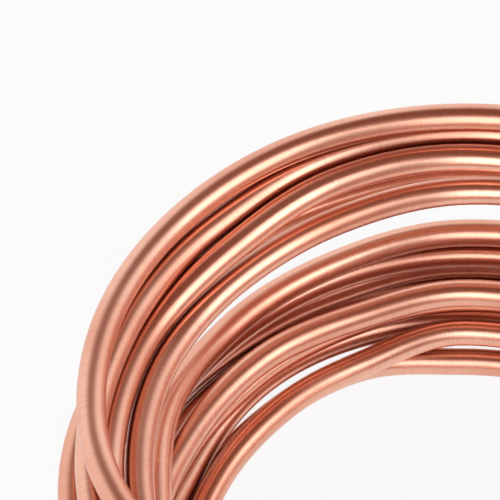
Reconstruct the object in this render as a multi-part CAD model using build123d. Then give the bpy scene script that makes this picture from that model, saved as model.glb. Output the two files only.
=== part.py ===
from build123d import *
import os
from math import cos, pi, radians, sin, sqrt

# A loose coil of soft copper tube, lying flat on the floor with its axis along +Z.
# +Y is the far side of the coil and -X its left side. Everything is in millimetres.

# The tube
tube_od = 6.35             # quarter-inch soft copper tube
tube_wall = 0.76
# The coil
coil_radius = 87.0         # coil axis to the tube's centre line on the widest top turn
turn_gap = 0.1             # least gap between turns that lie against each other
top_lead = 57.5            # straight free end on top of the coil, on its right
eye_lead = 22.0            # straight free end in the eye of the coil, on the left
legs_per_turn = 12         # each leg of the route is a pair of tangent arcs
wound_sides = 16           # flats round the wound part, within 0.06 mm of its round section

# How the turns lie, from the top turn down: at each azimuth, how far the turn lies inside
# coil_radius and how high above the lowest turn, both counted in tube pitches.
# The tube is wound clockwise seen from above, so each turn passes from the left side (180)
# to the far side (90), and comes round the near right (-45) to the left of the next turn.
AZIMUTHS = (180, 157.5, 135, 112.5, 90, -45)
LAY = [
    ((0.58, 9.01), (0.23, 9.08), (0.12, 9.10), (0.02, 9.10), (0.03, 9.08), (-0.20, 8.56)),
    ((0.49, 7.91), (0.66, 8.15), (0.52, 8.17), (0.11, 8.05), (-0.17, 8.05), (0.15, 7.55)),
    ((1.11, 7.11), (1.19, 7.25), (1.40, 7.65), (1.20, 8.03), (0.88, 7.89), (1.28, 7.06)),
    ((2.09, 6.70), (2.02, 6.66), (2.13, 6.82), (1.86, 6.74), (1.45, 6.75), (0.88, 6.00)),
    ((-0.18, 5.71), (0.14, 5.84), (0.41, 5.88), (0.31, 5.84), (0.01, 5.87), (-0.28, 4.30)),
    ((2.70, 4.20), (2.30, 3.94), (1.39, 3.12), (0.93, 3.12), (0.38, 3.19), (-0.21, 2.61)),
    ((1.18, 2.69), (1.29, 2.48), (1.11, 2.11), (0.78, 2.11), (0.51, 2.10), (-0.09, 1.53)),
    ((0.21, 1.31), (0.41, 1.19), (0.70, 1.01), (0.61, 1.11), (0.13, 1.11), (-0.33, 0.54)),
    ((0.00, 0.31), (0.19, 0.13), (0.28, 0.00), (0.35, 0.02), (0.33, 0.11), (0.60, 0.00)),
    ((1.27, 0.03), (1.38, 0.06), (1.36, 0.04), (1.37, 0.00), (1.39, 0.00), (1.63, 0.00)),
    ((2.46, 0.00), (3.25, 0.03), (3.55, 0.01), (3.32, 0.00), (2.65, 0.04), (2.64, 0.37)),
    ((2.47, 1.10), (2.92, 1.00), (2.79, 1.14), (2.63, 0.91), (2.89, 1.13), (2.64, 1.40)),
    ((2.35, 2.11), (2.73, 2.09), (3.00, 2.13), (2.86, 2.00), (2.58, 2.10), (2.53, 2.42)),
    ((2.51, 3.11), (2.94, 3.09), (3.19, 3.13), (3.33, 2.92), (3.09, 3.04), (3.86, 2.33)),
    ((3.60, 0.62), (3.97, 1.04), (4.26, 1.33), (4.08, 0.84), (3.84, 0.00)),
]
TOP_END = (12, (2.61, 10.25))      # azimuth and lay where the straight top lead begins
TOP_DESCENT = (225, (2.24, 9.09))  # and where that end has come down to the top turn
EYE_END = (-172, (6.10, 0.14))     # the same for the lead in the eye

pitch = tube_od + turn_gap


def stations():
    """The winding angle, in degrees from the top end, and the lay at every station."""
    found = [(0.0, TOP_END[1]), ((TOP_END[0] - TOP_DESCENT[0]) % 360, TOP_DESCENT[1])]
    angle = (TOP_END[0] - AZIMUTHS[0]) % 360
    for lays in LAY:
        found += [(angle + AZIMUTHS[0] - azimuth, lay) for azimuth, lay in zip(AZIMUTHS, lays)]
        angle += 360
    found.append((angle - 360 + AZIMUTHS[0] - EYE_END[0], EYE_END[1]))
    return found


def lay_at(angle, found=stations()):
    """The lay at a winding angle, eased through the stations with no sudden change."""
    def slope(i, k):
        if i in (0, len(found) - 1):
            return 0.0
        (a0, v0), (a1, v1), (a2, v2) = found[i - 1:i + 2]
        before, after = (v1[k] - v0[k]) / (a1 - a0), (v2[k] - v1[k]) / (a2 - a1)
        return 2 * before * after / (before + after) if before * after > 0 else 0.0

    i = max(n for n in range(len(found) - 1) if found[n][0] <= angle + 1e-9)
    (a0, v0), (a1, v1) = found[i], found[i + 1]
    span = a1 - a0
    t = (angle - a0) / span
    return [
        (2 * t**3 - 3 * t**2 + 1) * v0[k] + (t**3 - 2 * t**2 + t) * span * slope(i, k)
        + (3 * t**2 - 2 * t**3) * v1[k] + (t**3 - t**2) * span * slope(i + 1, k)
        for k in (0, 1)
    ]


def centre(angle):
    """The tube's centre line at a winding angle."""
    inside, up = lay_at(angle)
    radius = coil_radius - inside * pitch
    azimuth = radians(TOP_END[0] - angle)
    return Vector(radius * cos(azimuth), radius * sin(azimuth), tube_od / 2 + up * pitch)


def heading(angle, last):
    """The direction in which the tube runs at a winding angle."""
    near = 0.01  # degrees on either side, for the slope
    return (centre(min(angle + near, last)) - centre(max(angle - near, 0))).normalized()


def two_arcs(start, leaving, end, arriving):
    """Two tangent arcs that join two points with given directions."""
    span, both = end - start, leaving + arriving
    bend = 2 * (1 - leaving.dot(arriving))
    along = span.dot(both)
    reach = (sqrt(along**2 + bend * span.dot(span)) - along) / bend
    middle = (start + end + (leaving - arriving) * reach) * 0.5
    first = Edge.make_tangent_arc(start, leaving, middle)
    return [first, Edge.make_tangent_arc(middle, first % 1, end)]


def wound_route():
    """The centre line of the turns, as tangent arcs from the top end to the end in the eye."""
    last = stations()[-1][0]
    legs = round(last / 360 * legs_per_turn)
    angles = [last * n / legs for n in range(legs + 1)]
    points = [centre(a) for a in angles]
    ways = [heading(a, last) for a in angles]
    route = []
    for n in range(legs):
        route += two_arcs(points[n], ways[n], points[n + 1], ways[n + 1])
    return Wire(route)


def copper_tube(route):
    """The wound tube with a straight round lead at each end, bored from both cut ends."""
    at_top = Plane(origin=route @ 0, z_dir=-(route % 0))
    at_eye = Plane(origin=route @ 1, z_dir=route % 1)
    tube = sweep(at_top * RegularPolygon(tube_od / 2, wound_sides), path=route)
    for lead_start, lead in ((at_top, top_lead), (at_eye, eye_lead)):
        tube += extrude(lead_start * Circle(tube_od / 2), lead)
        tube -= extrude(lead_start * Circle(tube_od / 2 - tube_wall), lead)
    return tube


route = wound_route()
tube = copper_tube(route)
os.makedirs("parts", exist_ok=True)
export_step(tube, "parts/copper_tube.step")

leads = top_lead + eye_lead
wound_section = wound_sides / 2 * sin(2 * pi / wound_sides) * (tube_od / 2) ** 2
lead_section = pi * (tube_od / 2) ** 2 - pi * (tube_od / 2 - tube_wall) ** 2
print(f"tube length {route.length + leads:.0f} mm, volume {tube.volume:.0f} mm3,",
      f"section times length {wound_section * route.length + lead_section * leads:.0f} mm3")
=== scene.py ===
from math import cos, radians, sin

import bmesh
import bpy
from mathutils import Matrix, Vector


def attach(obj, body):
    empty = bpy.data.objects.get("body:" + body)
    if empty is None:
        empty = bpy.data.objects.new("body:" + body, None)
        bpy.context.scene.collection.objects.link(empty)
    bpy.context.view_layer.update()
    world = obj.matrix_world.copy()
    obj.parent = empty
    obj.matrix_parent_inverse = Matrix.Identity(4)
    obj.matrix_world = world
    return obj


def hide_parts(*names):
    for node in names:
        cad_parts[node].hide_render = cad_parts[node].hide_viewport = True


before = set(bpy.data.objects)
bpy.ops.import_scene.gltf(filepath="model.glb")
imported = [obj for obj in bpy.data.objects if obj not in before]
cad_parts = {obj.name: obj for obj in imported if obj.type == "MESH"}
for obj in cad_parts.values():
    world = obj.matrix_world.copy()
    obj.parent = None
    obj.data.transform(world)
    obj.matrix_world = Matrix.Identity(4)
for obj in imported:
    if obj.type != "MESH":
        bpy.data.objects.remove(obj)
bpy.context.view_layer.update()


# The camera looks down on the far left quarter of the coil from in front, as the
# photograph does: the coil lies flat, and its near and right sides are out of the picture.
# AIM is the point of the coil that lies at the middle of the picture.
CAMERA_ELEVATION = radians(50)
CAMERA_DISTANCE = 0.800
AIM = Vector((-0.0498, 0.0686, 0.0365))
VIEW_WIDTH = 0.1148            # what the picture's width covers at the aim point

camera = bpy.data.objects.new("camera", bpy.data.cameras.new("camera"))
bpy.context.scene.collection.objects.link(camera)
back = Vector((0, -cos(CAMERA_ELEVATION), sin(CAMERA_ELEVATION)))
camera.location = AIM + CAMERA_DISTANCE * back
camera.rotation_euler = back.to_track_quat("Z", "Y").to_euler()
camera.data.sensor_width = 36
camera.data.lens = camera.data.sensor_width * CAMERA_DISTANCE / VIEW_WIDTH
bpy.context.scene.camera = camera
bpy.context.scene.view_settings.view_transform = "Standard"


# The tube is one length of quarter-inch soft copper, drawn hollow, annealed and wound by
# hand into a loose coil. Its turns lie unevenly on and beside each other, so the lay is
# given at some azimuths of each turn, from the top turn down, counted in tube pitches: how
# far inside the widest turn, and how high above the lowest.
TUBE_OD = 0.00635
TUBE_WALL = 0.00076
COIL_RADIUS = 0.0870           # to the tube's centre line on the widest top turn
PITCH = TUBE_OD + 0.0001
TOP_LEAD = 0.0575
EYE_LEAD = 0.0220
AZIMUTHS = (180, 157.5, 135, 112.5, 90, -45)    # the left side is 180 and the far side 90
LAY = [
    ((0.58, 9.01), (0.23, 9.08), (0.12, 9.10), (0.02, 9.10), (0.03, 9.08), (-0.20, 8.56)),
    ((0.49, 7.91), (0.66, 8.15), (0.66, 8.17), (0.11, 8.05), (-0.17, 8.05), (0.15, 7.55)),
    ((1.11, 7.11), (1.19, 7.25), (1.62, 7.88), (1.20, 8.03), (0.88, 7.89), (1.28, 7.06)),
    ((2.09, 6.70), (2.02, 6.66), (2.13, 6.82), (1.86, 6.74), (1.45, 6.75), (0.88, 6.00)),
    ((-0.18, 5.71), (0.14, 5.84), (0.41, 5.88), (0.31, 5.84), (0.01, 5.87), (-0.28, 4.30)),
    ((2.64, 4.20), (2.02, 3.94), (1.39, 3.12), (0.93, 3.12), (0.38, 3.19), (-0.21, 2.61)),
    ((1.18, 2.69), (1.29, 2.48), (1.11, 2.11), (0.78, 2.11), (0.51, 2.10), (-0.09, 1.53)),
    ((0.21, 1.31), (0.41, 1.19), (0.70, 1.01), (0.61, 1.11), (0.13, 1.11), (-0.33, 0.54)),
    ((0.00, 0.31), (0.19, 0.13), (0.28, 0.00), (0.35, 0.02), (0.33, 0.11), (0.60, 0.00)),
    ((1.27, 0.03), (1.38, 0.06), (1.36, 0.04), (1.37, 0.00), (1.39, 0.00), (1.63, 0.00)),
    ((2.46, 0.00), (3.25, 0.03), (3.50, 0.01), (3.43, 0.00), (3.84, 0.00), (2.64, 0.37)),
    ((2.47, 1.10), (2.92, 1.00), (2.79, 1.14), (2.60, 0.88), (2.47, 0.62), (2.64, 1.40)),
    ((2.35, 2.11), (2.73, 2.09), (3.00, 2.13), (2.86, 2.00), (2.58, 2.10), (2.53, 2.42)),
    ((2.51, 3.11), (2.94, 3.09), (3.19, 3.13), (3.33, 2.92), (3.09, 3.04), (3.86, 2.33)),
    ((3.60, 0.62), (3.97, 1.04), (4.26, 1.33), (4.02, 1.02), (3.43, 1.22), (5.02, 0.40)),
]
TOP_END = (12, (2.61, 10.25))      # azimuth and lay where the straight top lead begins
TOP_DESCENT = (225, (2.24, 9.09))  # and where that end has come down to the top turn
EYE_END = (-172, (6.10, 0.14))     # the same for the lead in the eye


def stations():
    """The winding angle, in degrees from the top end, and the lay at every station."""
    found = [(0.0, TOP_END[1]), ((TOP_END[0] - TOP_DESCENT[0]) % 360, TOP_DESCENT[1])]
    angle = (TOP_END[0] - AZIMUTHS[0]) % 360
    for lays in LAY:
        found += [(angle + AZIMUTHS[0] - azimuth, lay) for azimuth, lay in zip(AZIMUTHS, lays)]
        angle += 360
    found.append((angle - 360 + AZIMUTHS[0] - EYE_END[0], EYE_END[1]))
    return found


def lay_at(angle, found=stations()):
    """The lay at a winding angle, eased through the stations with no sudden change."""
    def slope(i, k):
        if i in (0, len(found) - 1):
            return 0.0
        (a0, v0), (a1, v1), (a2, v2) = found[i - 1:i + 2]
        before, after = (v1[k] - v0[k]) / (a1 - a0), (v2[k] - v1[k]) / (a2 - a1)
        return 2 * before * after / (before + after) if before * after > 0 else 0.0

    i = max(n for n in range(len(found) - 1) if found[n][0] <= angle + 1e-9)
    (a0, v0), (a1, v1) = found[i], found[i + 1]
    span = a1 - a0
    t = (angle - a0) / span
    return [
        (2 * t**3 - 3 * t**2 + 1) * v0[k] + (t**3 - 2 * t**2 + t) * span * slope(i, k)
        + (3 * t**2 - 2 * t**3) * v1[k] + (t**3 - t**2) * span * slope(i + 1, k)
        for k in (0, 1)
    ]


def centre(angle):
    """The tube's centre line at a winding angle."""
    inside, up = lay_at(angle)
    radius = COIL_RADIUS - inside * PITCH
    azimuth = radians(TOP_END[0] - angle)
    return Vector((radius * cos(azimuth), radius * sin(azimuth), TUBE_OD / 2 + up * PITCH))


def way(angle):
    """The direction in which the tube runs at one of its ends, level and square to the radius."""
    azimuth = radians(TOP_END[0] - angle)
    return Vector((sin(azimuth), -cos(azimuth), 0))


# The centre line as one open curve: the free end on top, the turns, and the free end in
# the eye. Both ends are cut with a wheel cutter, which rolls the last millimetre inwards.
TURN_STEP = 2.4                # degrees of winding from one point to the next
LEAD_STEP = 0.0040
CUT = ((0.0, 0.955), (0.0003, 0.975), (0.0007, 0.99), (0.0013, 1.0))   # depth, radius factor

last = stations()[-1][0]
top, eye = centre(0), centre(last)
steps = round(last / TURN_STEP)


def lead(start, out, length):
    """Points with radius factors along a straight lead, from its cut end inwards."""
    found = [(start + out * (length - depth), factor) for depth, factor in CUT]
    rest = round((length - CUT[-1][0]) / LEAD_STEP)
    straight = length - CUT[-1][0]
    return found + [(start + out * straight * (1 - n / rest), 1.0) for n in range(1, rest)]


line = lead(top, -way(0), TOP_LEAD)
line += [(centre(last * n / steps), 1.0) for n in range(steps + 1)]
line += reversed(lead(eye, way(last), EYE_LEAD))

route = bpy.data.curves.new("tube_route", "CURVE")
route.dimensions = "3D"
spline = route.splines.new("POLY")
spline.points.add(len(line) - 1)
for point, (place, factor) in zip(spline.points, line):
    point.co = (*place, 1)
    point.radius = factor
route_object = bpy.data.objects.new("tube_route", route)
bpy.context.scene.collection.objects.link(route_object)


# Drawn copper: a tube pulled bright through a die and then annealed. It is a clean metal
# with a warm orange colour, and painted shade darkens that colour down in the hollows where
# turns touch. The die leaves faint lines along the tube, and winding on rollers leaves fine marks
# across it.
COPPER_BRIGHT = "#F3BBA3"
COPPER_DEEP = "#E39C82"
COPPER_DULL = "#CB8A72"
# the colour of the painted shade in the hollows between touching turns
COPPER_PAINTED_SHADE = "#8E4A34"
PAINTED_SHADE_REACH = 0.0035          # how near another turn must be for the colour to take painted shade
DIE_LINE_MM = 0.5              # from one die line to the next, round the tube
ROLLER_MARK_MM = 0.45          # from one mark to the next along the tube, coarser than real
CLOUD_MM = 14.0                # patches of slightly duller metal


def colour(hex_code):
    """A colour written as sRGB hex, as the linear values that Blender takes."""
    parts = [int(hex_code[i:i + 2], 16) / 255 for i in (1, 3, 5)]
    return (*[p / 12.92 if p <= 0.04045 else ((p + 0.055) / 1.055) ** 2.4 for p in parts], 1)


def node(tree, kind, links=(), **settings):
    """Adds a node, with its settings, and its input sockets set or linked."""
    made = tree.nodes.new(kind)
    for name, value in settings.items():
        setattr(made, name, value)
    for socket, value in links:
        if isinstance(value, bpy.types.NodeSocket):
            tree.links.new(value, made.inputs[socket])
        else:
            made.inputs[socket].default_value = value
    return made


def per_metre(spacing_mm):
    """How often a pattern repeats in a metre."""
    return 1000 / spacing_mm


copper = bpy.data.materials.new("drawn_copper")
copper.use_nodes = True
nodes = copper.node_tree
nodes.nodes.clear()
along = node(nodes, "ShaderNodeAttribute", attribute_name="along")
around = node(nodes, "ShaderNodeAttribute", attribute_name="around")
round_parts = node(nodes, "ShaderNodeSeparateXYZ", [(0, around.outputs["Vector"])])
place = node(nodes, "ShaderNodeCombineXYZ",
             [(0, along.outputs["Fac"]), (1, round_parts.outputs[0]),
              (2, round_parts.outputs[1])])
stretched = {}
for mark, scales in (
    ("die", (per_metre(60), per_metre(DIE_LINE_MM), per_metre(DIE_LINE_MM))),
    ("roller", (per_metre(ROLLER_MARK_MM), per_metre(5), per_metre(5))),
    ("cloud", (per_metre(CLOUD_MM * 3), per_metre(CLOUD_MM), per_metre(CLOUD_MM))),
):
    scaled = node(nodes, "ShaderNodeVectorMath",
                  [(0, place.outputs[0]), (1, scales)], operation="MULTIPLY")
    stretched[mark] = node(nodes, "ShaderNodeTexNoise",
                           [("Vector", scaled.outputs[0]), ("Scale", 1.0), ("Detail", 3.0)])
tint = node(nodes, "ShaderNodeValToRGB", [("Fac", stretched["cloud"].outputs["Fac"])])
tint.color_ramp.elements[0].position = 0.30
tint.color_ramp.elements[0].color = colour(COPPER_DEEP)
tint.color_ramp.elements[1].position = 0.62
tint.color_ramp.elements[1].color = colour(COPPER_BRIGHT)
marks = node(nodes, "ShaderNodeMapRange",
             [("Value", stretched["roller"].outputs["Fac"]), ("From Min", 0.52), ("From Max", 0.75),
              ("To Min", 0.0), ("To Max", 0.30)])
skin = node(nodes, "ShaderNodeMix",
            [(0, marks.outputs["Result"]), (6, tint.outputs["Color"]), (7, colour(COPPER_DULL))],
            data_type="RGBA")
# Painted shade: where other turns come near, the colour is darkened towards the hollow colour,
# standing in for the shade between touching turns.
openness = node(nodes, "ShaderNodeAmbientOcclusion", [("Distance", PAINTED_SHADE_REACH)], samples=8)
painted_shade = node(nodes, "ShaderNodeMapRange",
              [("Value", openness.outputs["AO"]), ("From Min", 0.15), ("From Max", 0.65),
               ("To Min", 0.85), ("To Max", 0.0)])
skin_with_painted_shade = node(nodes, "ShaderNodeMix",
             [(0, painted_shade.outputs["Result"]), (6, skin.outputs[2]), (7, colour(COPPER_PAINTED_SHADE))],
             data_type="RGBA")
sheen = node(nodes, "ShaderNodeMapRange",
             [("Value", stretched["cloud"].outputs["Fac"]), ("From Min", 0.3), ("From Max", 0.7),
              ("To Min", 0.34), ("To Max", 0.27)])
relief = node(nodes, "ShaderNodeMath",
              [(0, stretched["die"].outputs["Fac"]), (1, stretched["roller"].outputs["Fac"])],
              operation="ADD")
bump = node(nodes, "ShaderNodeBump",
            [("Height", relief.outputs[0]), ("Strength", 0.14), ("Distance", 0.00010)])
shader = node(nodes, "ShaderNodeBsdfPrincipled",
              [("Base Color", skin_with_painted_shade.outputs[2]),
               ("Metallic", 1.0), ("Roughness", sheen.outputs["Result"]),
               ("Normal", bump.outputs["Normal"])])
node(nodes, "ShaderNodeOutputMaterial", [("Surface", shader.outputs[0])])


# The wall of the tube is swept along the route: the drawn outer skin, and the bore, which
# runs the whole length. Each point of the skin knows how far along and where round the
# tube it lies, so that the marks of the die and the rollers follow the metal.
SIDES = 28
BORE_STEP = 0.0100

tree = bpy.data.node_groups.new("swept_tube", "GeometryNodeTree")
for name, kind in (("Route", "NodeSocketGeometry"), ("Outside Radius", "NodeSocketFloat"),
                   ("Bore Radius", "NodeSocketFloat"), ("Sides", "NodeSocketInt"),
                   ("Bore Step", "NodeSocketFloat"), ("Material", "NodeSocketMaterial")):
    tree.interface.new_socket(name, in_out="INPUT", socket_type=kind)
tree.interface.new_socket("Tube", in_out="OUTPUT", socket_type="NodeSocketGeometry")
given = node(tree, "NodeGroupInput").outputs


def swept(curve, radius):
    """A tube's wall along a curve, with its place along and around the tube kept on it."""
    length = node(tree, "GeometryNodeSplineParameter")
    measured = node(tree, "GeometryNodeStoreNamedAttribute",
                    [("Geometry", curve), ("Name", "along"), ("Value", length.outputs["Length"])],
                    data_type="FLOAT", domain="POINT")
    circle = node(tree, "GeometryNodeCurvePrimitiveCircle",
                  [("Resolution", given["Sides"]), ("Radius", radius)])
    profile = node(tree, "GeometryNodeStoreNamedAttribute",
                   [("Geometry", circle.outputs["Curve"]), ("Name", "around"),
                    ("Value", node(tree, "GeometryNodeInputPosition").outputs[0])],
                   data_type="FLOAT_VECTOR", domain="POINT")
    return node(tree, "GeometryNodeCurveToMesh",
                [("Curve", measured.outputs[0]), ("Profile Curve", profile.outputs[0])])


outside = swept(given["Route"], given["Outside Radius"])
coarse = node(tree, "GeometryNodeResampleCurve",
              [("Curve", given["Route"]), ("Length", given["Bore Step"])], mode="LENGTH")
bore = swept(coarse.outputs[0], given["Bore Radius"])
bore_inwards = node(tree, "GeometryNodeFlipFaces", [("Mesh", bore.outputs[0])])
both = node(tree, "GeometryNodeJoinGeometry")
tree.links.new(bore_inwards.outputs[0], both.inputs[0])
tree.links.new(outside.outputs[0], both.inputs[0])
smooth = node(tree, "GeometryNodeSetShadeSmooth", [("Geometry", both.outputs[0])])
realized = node(tree, "GeometryNodeRealizeInstances", [("Geometry", smooth.outputs[0])])
finished = node(tree, "GeometryNodeSetMaterial",
                [("Geometry", realized.outputs[0]), ("Material", given["Material"])])
node(tree, "NodeGroupOutput", [(0, finished.outputs[0])])

sweep = route_object.modifiers.new("sweep", "NODES")
sweep.node_group = tree
inputs = {item.name: item.identifier for item in tree.interface.items_tree
          if item.in_out == "INPUT"}
sweep[inputs["Outside Radius"]] = TUBE_OD / 2
sweep[inputs["Bore Radius"]] = TUBE_OD / 2 - TUBE_WALL
sweep[inputs["Sides"]] = SIDES
sweep[inputs["Bore Step"]] = BORE_STEP
sweep[inputs["Material"]] = copper
bpy.context.view_layer.update()
evaluated = route_object.evaluated_get(bpy.context.evaluated_depsgraph_get())
tube_mesh = bpy.data.meshes.new_from_object(evaluated)
route_object.modifiers.remove(sweep)
bpy.data.objects.remove(route_object)

# The ring of cut metal at each end joins the skin to the bore.
work = bmesh.new()
work.from_mesh(tube_mesh)
rims = [edge for edge in work.edges if edge.is_boundary]
for mouth in (line[0][0], line[-1][0]):
    ring = [e for e in rims if (e.verts[0].co - mouth).length < TUBE_OD]
    for face in bmesh.ops.bridge_loops(work, edges=ring)["faces"]:
        face.smooth = False
bmesh.ops.recalc_face_normals(work, faces=work.faces)
work.to_mesh(tube_mesh)
work.free()

tube = bpy.data.objects.new("drawn_tube", tube_mesh)
bpy.context.scene.collection.objects.link(tube)
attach(tube, "root")
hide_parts("copper_tube")


# The floor is a plain pale sheet that the coil lies on. It shows as white to the camera and
# in the metal, and keeps a light shadow under the coil.
FLOOR_SIZE = 6.0
FLOOR_WHITE = "#FBFBFA"
SHADOW_SHARE = 0.10            # how much of the floor's own shading the camera sees

floor_mesh = bpy.data.meshes.new("floor")
half = FLOOR_SIZE / 2
floor_mesh.from_pydata([(-half, -half, 0), (half, -half, 0), (half, half, 0), (-half, half, 0)],
                       [], [(0, 1, 2, 3)])
floor = bpy.data.objects.new("floor", floor_mesh)
bpy.context.scene.collection.objects.link(floor)
paper = bpy.data.materials.new("pale_floor")
paper.use_nodes = True
nodes = paper.node_tree
nodes.nodes.clear()
rays = node(nodes, "ShaderNodeLightPath")
matt = node(nodes, "ShaderNodeBsdfDiffuse", [("Color", colour(FLOOR_WHITE))])
white = node(nodes, "ShaderNodeEmission", [("Color", (1, 1, 1, 1)), ("Strength", 1.0)])
eye_or_metal = node(nodes, "ShaderNodeMath",
                    [(0, rays.outputs["Is Camera Ray"]), (1, rays.outputs["Is Glossy Ray"])],
                    operation="MAXIMUM")
seen = node(nodes, "ShaderNodeMath",
            [(0, eye_or_metal.outputs[0]), (1, 1 - SHADOW_SHARE)], operation="MULTIPLY")
mixed = node(nodes, "ShaderNodeMixShader",
             [(0, seen.outputs[0]), (1, matt.outputs[0]), (2, white.outputs[0])])
node(nodes, "ShaderNodeOutputMaterial", [("Surface", mixed.outputs[0])])
floor_mesh.materials.append(paper)


# The studio: pale walls all round under a darker, warm ceiling, which gives the bright metal
# its brown band. The corner between the two soft boxes is dim too.
WALL_LIGHT = 1.05
CEILING_LIGHT = 0.21
CEILING_TONE = "#FF9E78"
WALL_TOP = 0.61                # sine of the elevation where the walls end
CEILING_START = 0.82           # and where the ceiling is full
CORNER_AZIMUTH = radians(-57)  # from the right side, +X
CORNER_TILT = 0.15
CORNER_LIGHT = 0.35            # share of the walls' light in the middle of the dim corner
CORNER_FROM, CORNER_TO = 0.90, 0.98     # cosines of the angles where it fades in and is full

world = bpy.data.worlds.new("studio")
bpy.context.scene.world = world
world.use_nodes = True
nodes = world.node_tree
nodes.nodes.clear()
rays = node(nodes, "ShaderNodeLightPath")
sky = node(nodes, "ShaderNodeTexCoord")
height = node(nodes, "ShaderNodeSeparateXYZ", [(0, sky.outputs["Generated"])])
ceiling = node(nodes, "ShaderNodeMapRange",
               [("Value", height.outputs[2]), ("From Min", WALL_TOP), ("From Max", CEILING_START)],
               interpolation_type="SMOOTHSTEP")
towards_corner = node(nodes, "ShaderNodeVectorMath",
                      [(0, sky.outputs["Generated"]),
                       (1, (cos(CORNER_AZIMUTH), sin(CORNER_AZIMUTH), CORNER_TILT))],
                      operation="DOT_PRODUCT")
walls = node(nodes, "ShaderNodeMapRange",
             [("Value", towards_corner.outputs["Value"]),
              ("From Min", CORNER_FROM), ("From Max", CORNER_TO),
              ("To Min", WALL_LIGHT), ("To Max", WALL_LIGHT * CORNER_LIGHT)],
             interpolation_type="SMOOTHSTEP")
wall_light = node(nodes, "ShaderNodeBackground",
                  [("Color", (1, 1, 1, 1)), ("Strength", walls.outputs[0])])
ceiling_light = node(nodes, "ShaderNodeBackground",
                     [("Color", colour(CEILING_TONE)), ("Strength", CEILING_LIGHT)])
room = node(nodes, "ShaderNodeMixShader",
            [(0, ceiling.outputs[0]), (1, wall_light.outputs[0]), (2, ceiling_light.outputs[0])])
backdrop = node(nodes, "ShaderNodeBackground", [("Color", (1, 1, 1, 1)), ("Strength", 1.0)])
shown = node(nodes, "ShaderNodeMixShader",
             [(0, rays.outputs["Is Camera Ray"]), (1, room.outputs[0]), (2, backdrop.outputs[0])])
node(nodes, "ShaderNodeOutputWorld", [("Surface", shown.outputs[0])])


def soft_box(name, azimuth, elevation, distance, width, height, power):
    """A rectangular soft box that faces the coil."""
    a, e = radians(azimuth), radians(elevation)
    lamp = bpy.data.lights.new(name, "AREA")
    lamp.shape = "RECTANGLE"
    lamp.size, lamp.size_y, lamp.energy = width, height, power
    out = Vector((sin(a) * cos(e), -cos(a) * cos(e), sin(e)))
    made = bpy.data.objects.new(name, lamp)
    made.location = out * distance
    made.rotation_euler = out.to_track_quat("Z", "Y").to_euler()
    bpy.context.scene.collection.objects.link(made)


soft_box("front_box", azimuth=-4, elevation=30, distance=1.6, width=0.95, height=1.6, power=9.0)
soft_box("right_box", azimuth=68, elevation=32, distance=1.6, width=0.85, height=1.5, power=8.0)
